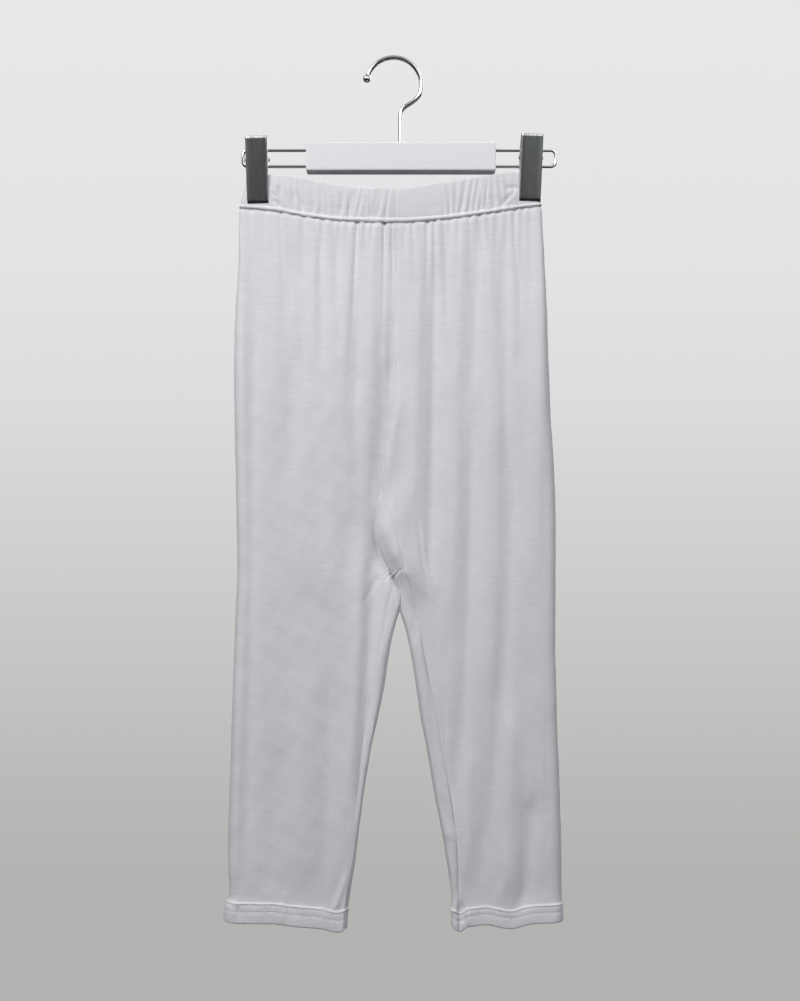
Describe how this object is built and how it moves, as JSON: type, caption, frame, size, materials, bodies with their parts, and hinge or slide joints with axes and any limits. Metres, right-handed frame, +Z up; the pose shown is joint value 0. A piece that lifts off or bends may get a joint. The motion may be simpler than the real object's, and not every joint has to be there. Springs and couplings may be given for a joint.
{
  "type": "leggings on a clip hanger",
  "caption": "Cropped jersey leggings with a gathered elastic waist, hung flat by two sliding clips on a wire loop through a short wooden bar with a round hook.",
  "frame": {"origin": "inside of the hanger's hook, at its top, where it hangs on a rail or peg", "axes": "+Z up; the front of the leggings faces -Y; the wearer's right leg lies at -X"},
  "size_m": [0.3224, 0.0311, 0.8304],
  "materials": {
    "jersey": "fine white viscose jersey with faint slubs, soft dull sheen",
    "waistband": "the same jersey gathered over elastic",
    "chrome": "bright chromed steel wire",
    "black_nickel": "black nickel plated pressed steel, satin",
    "painted_wood": "white satin paint on wood"
  },
  "bodies": {
    "root": {"leg_right": "jersey", "leg_left": "jersey", "waistband": "waistband", "hanger_hook": "chrome", "hanger_loop": "chrome", "hanger_bar": "painted_wood", "clip_right_front_jaw": "black_nickel", "clip_right_back_jaw": "black_nickel", "clip_right_pin": "chrome", "clip_left_front_jaw": "black_nickel", "clip_left_back_jaw": "black_nickel", "clip_left_pin": "chrome"}
  },
  "joints": []
}
